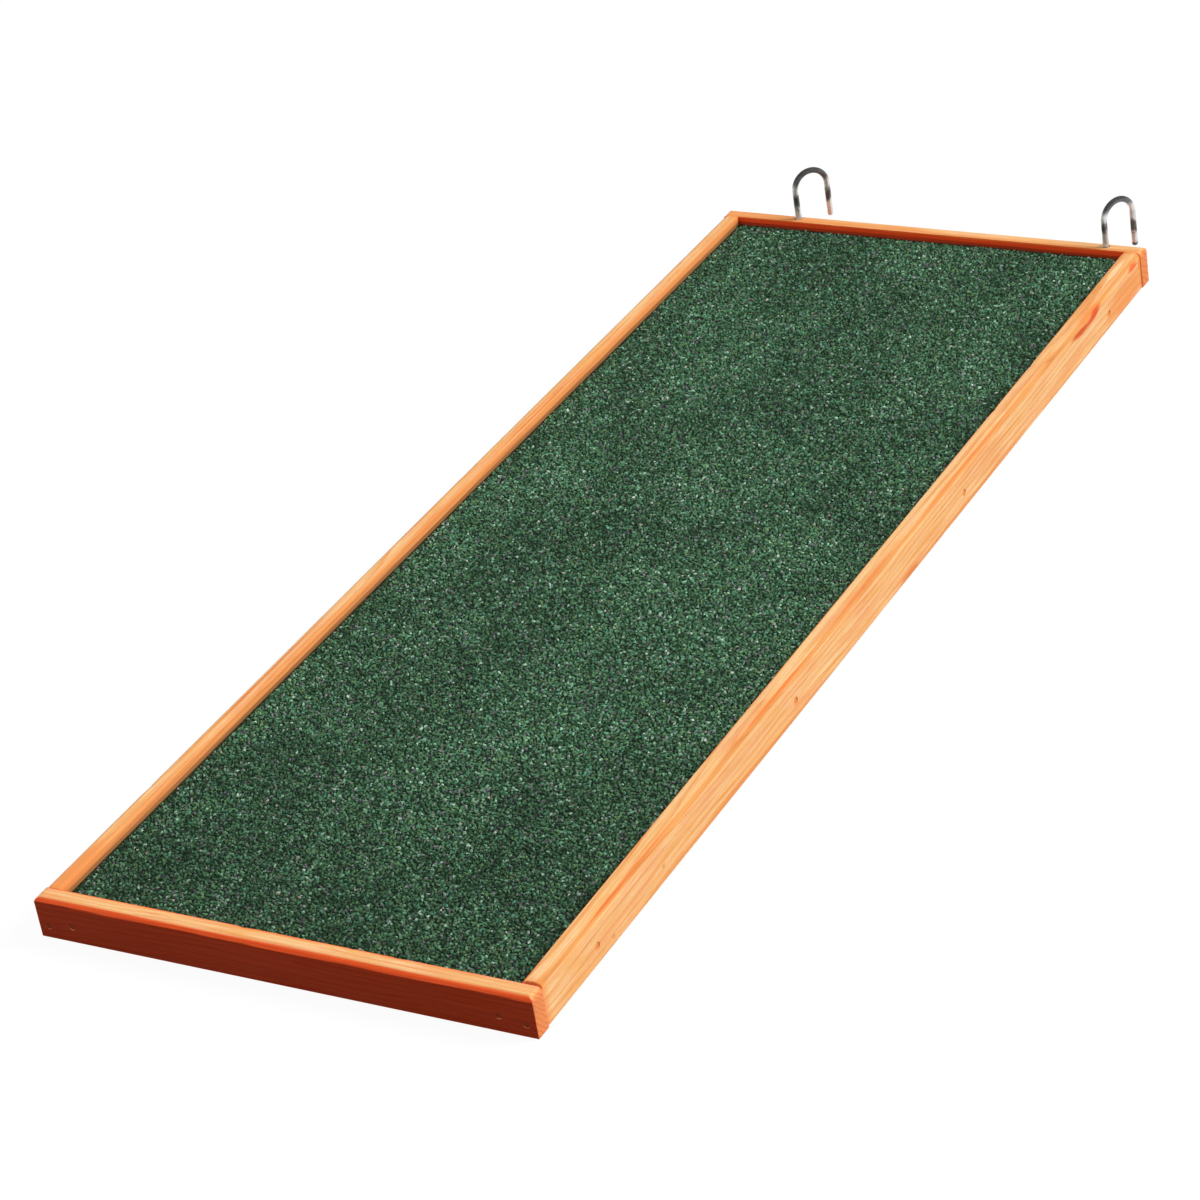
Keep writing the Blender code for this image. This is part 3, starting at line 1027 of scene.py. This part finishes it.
size, middle = size_and_middle(felt_low, felt_high)
bm = bmesh.new()
columns, rows = round(size.x / sheet_cell), round(size.y / sheet_cell)
bmesh.ops.create_grid(bm, x_segments=columns, y_segments=rows, size=0.5)
fit(bm, (size.x, size.y, 1.0), (middle.x, middle.y, sheet_top))
for vertex in bm.verts:
    vertex.co.z += wave(vertex.co.x, vertex.co.y)
lowered = bmesh.ops.extrude_face_region(bm, geom=bm.faces[:])["geom"]
for element in lowered:
    if isinstance(element, bmesh.types.BMVert):
        element.co.z = felt_low.z
bmesh.ops.recalc_face_normals(bm, faces=bm.faces)
new_piece("felt_sheet", bm, bitumen(), stands_for=["mineral_felt"], smooth_angle=radians(40))

# %% Stone colours
tone_mix = [
    (0.000, (0.036, 0.084, 0.045, 1.0)), (0.300, (0.060, 0.145, 0.074, 1.0)),
    (0.580, (0.098, 0.224, 0.122, 1.0)), (0.700, (0.130, 0.232, 0.094, 1.0)),
    (0.780, (0.086, 0.266, 0.168, 1.0)), (0.860, (0.170, 0.330, 0.196, 1.0)),
    (0.865, (0.122, 0.130, 0.130, 1.0)), (0.940, (0.200, 0.215, 0.208, 1.0)),
    (0.945, (0.180, 0.410, 0.245, 1.0)), (0.985, (0.340, 0.520, 0.390, 1.0)),
    (0.997, (0.440, 0.540, 0.460, 1.0)), (0.998, (0.500, 0.410, 0.370, 1.0)),
]
lower_end_darkest, lower_end_darkening_ends = -250.0, -90.0


def crushed_slate():
    """The mix of tones, darker in blotches and clumps, and towards the lower end."""
    material, tree, shader = new_material("crushed_slate")
    place = place_in_mm(tree)
    tone = node(tree, "Attribute", attribute_name="tone").outputs["Fac"]
    blotch = noisy(tree, place, (0.03, 0.022, 0.03), 0.35, 0.65)
    clump = noisy(tree, place, (0.34,) * 3, 0.34, 0.66, detail=2.0)
    away_from_lower_end = fade(tree, component(tree, place, "Y"), lower_end_darkest, lower_end_darkening_ends)
    speckle = cloudy(tree, place, (2.6,) * 3)
    shade = calc(tree, "MULTIPLY_ADD", blotch, 0.36, 0.55)
    shade = calc(tree, "MULTIPLY_ADD", clump, 0.58, shade)
    shade = calc(tree, "MULTIPLY", shade, calc(tree, "MULTIPLY_ADD", away_from_lower_end, 0.20, 0.80))
    shade = calc(tree, "MULTIPLY", shade, calc(tree, "MULTIPLY_ADD", speckle, 0.8, 0.6))
    colour = blend(tree, 1.0, ramp(tree, tone, tone_mix), shade, "MULTIPLY")
    fill(tree, shader, {"Base Color": colour, "Roughness": calc(tree, "MULTIPLY_ADD", speckle, 0.3, 0.50),
                        "Specular IOR Level": 0.2, "Normal": relief(tree, speckle, 0.10 * MM)})
    return material

# %% Strewn stones
stone_pitch = 1.05 * MM
stone_kinds = 40
stone_lengths = (0.90 * MM, 1.70 * MM)
stone_widths = (0.62 * MM, 1.15 * MM)
stone_heights = (0.38 * MM, 0.70 * MM)
stone_lifts = (0.10 * MM, 0.40 * MM)
stone_bases = (0.50, 0.62)
stone_tops = (0.22, 0.48)
stone_push = 0.15
stone_jitter = 0.45
stone_tilt = radians(30)
stone_fields = 6
edge_room = 1.10 * MM
dice = random.Random(5)


def broken_stone(number):
    """A blunt pyramid about 1 across, on three or four sides, with its corners pushed about."""
    bm = bmesh.new()
    bmesh.ops.create_cone(bm, cap_ends=True, segments=dice.choice((3, 4)), depth=1.0,
                          radius1=dice.uniform(*stone_bases), radius2=dice.uniform(*stone_tops))
    for corner in bm.verts:
        corner.co += Vector([dice.uniform(-stone_push, stone_push) for axis in range(3)])
    bm.faces.layers.float.new("tone")
    return mesh_from(bm, f"stone_{number}")


def lay_stone(bm, stone, x, y):
    """Join one stone to the field, lying at a random angle on the felt."""
    size = [dice.uniform(*span) for span in (stone_lengths, stone_widths, stone_heights)]
    lean = [dice.gauss(0.0, stone_tilt / 2) for axis in range(2)]
    tilt = Euler((*lean, dice.uniform(0.0, 2 * pi)))
    height = sheet_top + wave(x, y) + dice.uniform(*stone_lifts)
    matrix = Matrix.LocRotScale(Vector((x, y, height)), tilt, Vector(size))
    tone = dice.random()
    stone.attributes["tone"].data.foreach_set("value", [tone] * len(stone.polygons))
    stone.transform(matrix)
    bm.from_mesh(stone)
    stone.transform(matrix.inverted())


stones = [broken_stone(number) for number in range(stone_kinds)]
slate = crushed_slate()
columns = round((size.x - 2 * edge_room) / stone_pitch)
rows = round((size.y - 2 * edge_room) / stone_pitch)
pitch_x, pitch_y = (size.x - 2 * edge_room) / columns, (size.y - 2 * edge_room) / rows
for field in range(stone_fields):
    bm = bmesh.new()
    for row in range(rows * field // stone_fields, rows * (field + 1) // stone_fields):
        for column in range(columns):
            x = felt_low.x + edge_room + (column + 0.5 + dice.uniform(-stone_jitter, stone_jitter)) * pitch_x
            y = felt_low.y + edge_room + (row + 0.5 + dice.uniform(-stone_jitter, stone_jitter)) * pitch_y
            lay_stone(bm, dice.choice(stones), x, y)
    new_piece(f"felt_stones_{field + 1}", bm, slate)
for stone in stones:
    bpy.data.meshes.remove(stone)

# %% [markdown]
# ## The screw hooks
#
# A screw hook is one length of wire: a gimlet point and a thread that go into the wood, a plain shank, a
# half circle and a free leg with a rounded tip. A curve with a bevel would do, but extruding one round
# face gives full control of each stretch: the point is an extrusion that widens, the bend is a spin of
# 180 degrees, and the tip is a few extrusions that narrow. The thread is a small triangle spun round the
# shank with a little lift at each step, which winds it up the wire.
#
# The wire is zinc plated, bright where it was handled and dull in places. Over the bend and in a few
# patches it is painted nearly black: painted dark reflections. Those are the same ellipsoids that mark the
# wood.

# %% Wire with painted dark reflections
zinc_light = (0.86, 0.86, 0.87, 1.0)
zinc_dark = (0.66, 0.66, 0.67, 1.0)
# Painted dark reflection: the colour of the wire over the bend and in a few patches.
zinc_painted_reflection = (0.035, 0.035, 0.038, 1.0)
reflection_bend_from = 27.5
reflection_bend_full = 30.5
reflection_bend_strength = 0.85
painted_reflection_spots = [Streak(middle, (4.0, 4.0, reach), zinc_painted_reflection, strength=0.9) for middle, reach in (
    ((75.0, 241.7, 23.0), 3.2), ((82.0, 253.9, 19.0), 4.2), ((82.0, 253.9, 10.4), 2.0),
    ((-57.6, 241.7, 22.6), 5.0), ((-48.6, 252.5, 21.8), 4.4))]


def zinc_with_painted_reflection():
    material, tree, shader = new_material("bright_zinc_wire")
    place = place_in_mm(tree)
    dull = noisy(tree, place, (0.5, 0.5, 0.35), 0.35, 0.65, detail=4.0)
    # The bend and a few patches are painted nearly black as painted dark reflections.
    dark_reflection = fade(tree, component(tree, place, "Z"), reflection_bend_from, reflection_bend_full)
    dark_reflection = calc(tree, "MULTIPLY", dark_reflection, reflection_bend_strength)
    for spot in painted_reflection_spots:
        patch = calc(tree, "MULTIPLY", ellipsoid(tree, place, spot, dull), spot.strength)
        dark_reflection = calc(tree, "MAXIMUM", dark_reflection, patch)
    colour = blend(tree, dark_reflection, blend(tree, dull, zinc_dark, zinc_light), zinc_painted_reflection)
    height = cloudy(tree, place, (5.0, 5.0, 0.8))
    fill(tree, shader, {"Base Color": colour, "Roughness": calc(tree, "MULTIPLY_ADD", dull, -0.08, 0.34),
                        "Metallic": 0.55, "Normal": relief(tree, height, 0.015 * MM)})
    return material

# %% Hook shape
wire_sides = 28
bend_steps = 40
point_radius = 0.12 * MM
free_leg = 15.0 * MM
tip_rounding = 1.0 * MM
tip_steps = 6
tip_radius = 0.15 * MM
thread_pitch = 1.15 * MM
thread_height = 0.27 * MM
thread_half_width = 0.30 * MM
thread_sunk = 0.10 * MM
thread_runout = 0.22
thread_start = 0.12
thread_above_wood = 2.2 * MM
thread_steps = 18


def face_in(geometry):
    return next(element for element in geometry if isinstance(element, bmesh.types.BMFace))


def grow(bm, face, lift, radius, old_radius):
    """Extrude a round face along its own normal and give it a new radius. Returns the new face."""
    normal = face.normal.copy()
    grown = face_in(bmesh.ops.extrude_face_region(bm, geom=[face])["geom"])
    middle = grown.calc_center_median()
    for vertex in grown.verts:
        vertex.co = middle + (vertex.co - middle) * radius / old_radius + normal * lift
    bm.normal_update()
    return grown


def wire_hook(shank):
    """A hook whose shank stands on the Z axis, with the bend starting at height 0."""
    bm = bmesh.new()
    bmesh.ops.create_circle(bm, cap_ends=True, segments=wire_sides, radius=point_radius)
    bmesh.ops.translate(bm, vec=(0.0, 0.0, -shank), verts=bm.verts)
    bm.normal_update()
    face = bm.faces[:][0]
    if face.normal.z < 0.0:
        bmesh.ops.reverse_faces(bm, faces=[face])
        bm.normal_update()
    face = grow(bm, face, point_length, hook_wire, point_radius)
    face = grow(bm, face, shank - point_length, hook_wire, hook_wire)
    bent = bmesh.ops.spin(bm, geom=[face], cent=(hook_bend, 0.0, 0.0), axis=(0.0, 1.0, 0.0),
                          angle=pi, steps=bend_steps)
    face = face_in(bent["geom_last"])
    bm.normal_update()
    face = grow(bm, face, free_leg - tip_rounding, hook_wire, hook_wire)
    radius = hook_wire
    for step in range(1, tip_steps + 1):
        before, after = (pi / 2 * number / tip_steps for number in (step - 1, step))
        narrowed = max(hook_wire * cos(after), tip_radius)
        face = grow(bm, face, tip_rounding * (sin(after) - sin(before)), narrowed, radius)
        radius = narrowed
    bmesh.ops.recalc_face_normals(bm, faces=bm.faces)
    return bm


def wind_thread(bm, shank, wood_top):
    """Add the thread to a hook, from its point to a little above the wood. wood_top is in hook heights."""
    start = -shank
    length = wood_top + thread_above_wood - start
    turns = length / thread_pitch
    root = hook_wire - thread_sunk
    outline = ((root, -thread_half_width), (hook_wire + thread_height, 0.0), (root, thread_half_width))
    low, crest, high = (bm.verts.new((radius, 0.0, start + lift)) for radius, lift in outline)
    before = set(bm.verts) - {low, crest, high}
    section = bm.faces.new((low, crest, high))
    steps = round(turns * thread_steps)
    bmesh.ops.spin(bm, geom=[section], cent=(0.0, 0.0, 0.0), axis=(0.0, 0.0, 1.0),
                   angle=2 * pi * turns, steps=steps, dvec=(0.0, 0.0, length / steps))
    thread = [vertex for vertex in bm.verts if vertex not in before]
    for vertex in thread:
        grown = (vertex.co.z + shank) / point_length
        fading = (wood_top + thread_above_wood - vertex.co.z) / thread_pitch
        room = min(1.0, max(thread_start, grown))
        vertex.co.xy *= room * (1.0 - thread_runout * (1.0 - min(1.0, max(0.0, fading))))
    bmesh.ops.recalc_face_normals(bm, faces=list({face for vertex in thread for face in vertex.link_faces}))


zinc = zinc_with_painted_reflection()
for hook in hooks:
    shank = hook.bend_height - hook.foot.z
    bm = wire_hook(shank)
    wind_thread(bm, shank, rail_top - hook.bend_height)
    place = Matrix.Translation((hook.foot.x, hook.foot.y, hook.bend_height))
    bmesh.ops.transform(bm, matrix=place @ Matrix.Rotation(hook.turn, 4, "Z"), verts=bm.verts)
    new_piece("wire_hook_" + hook.side, bm, zinc, body=hook.side + "_hook",
              stands_for=["screw_hook_" + hook.side], smooth_angle=radians(40))

# %% [markdown]
# ## The size of the model
#
# The fine pieces must not make the ramp any bigger than its solids. The sizes of both are printed.

# %% Size of the model
model_box = [list(corner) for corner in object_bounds()]
print_size("size of the model:", model_box)
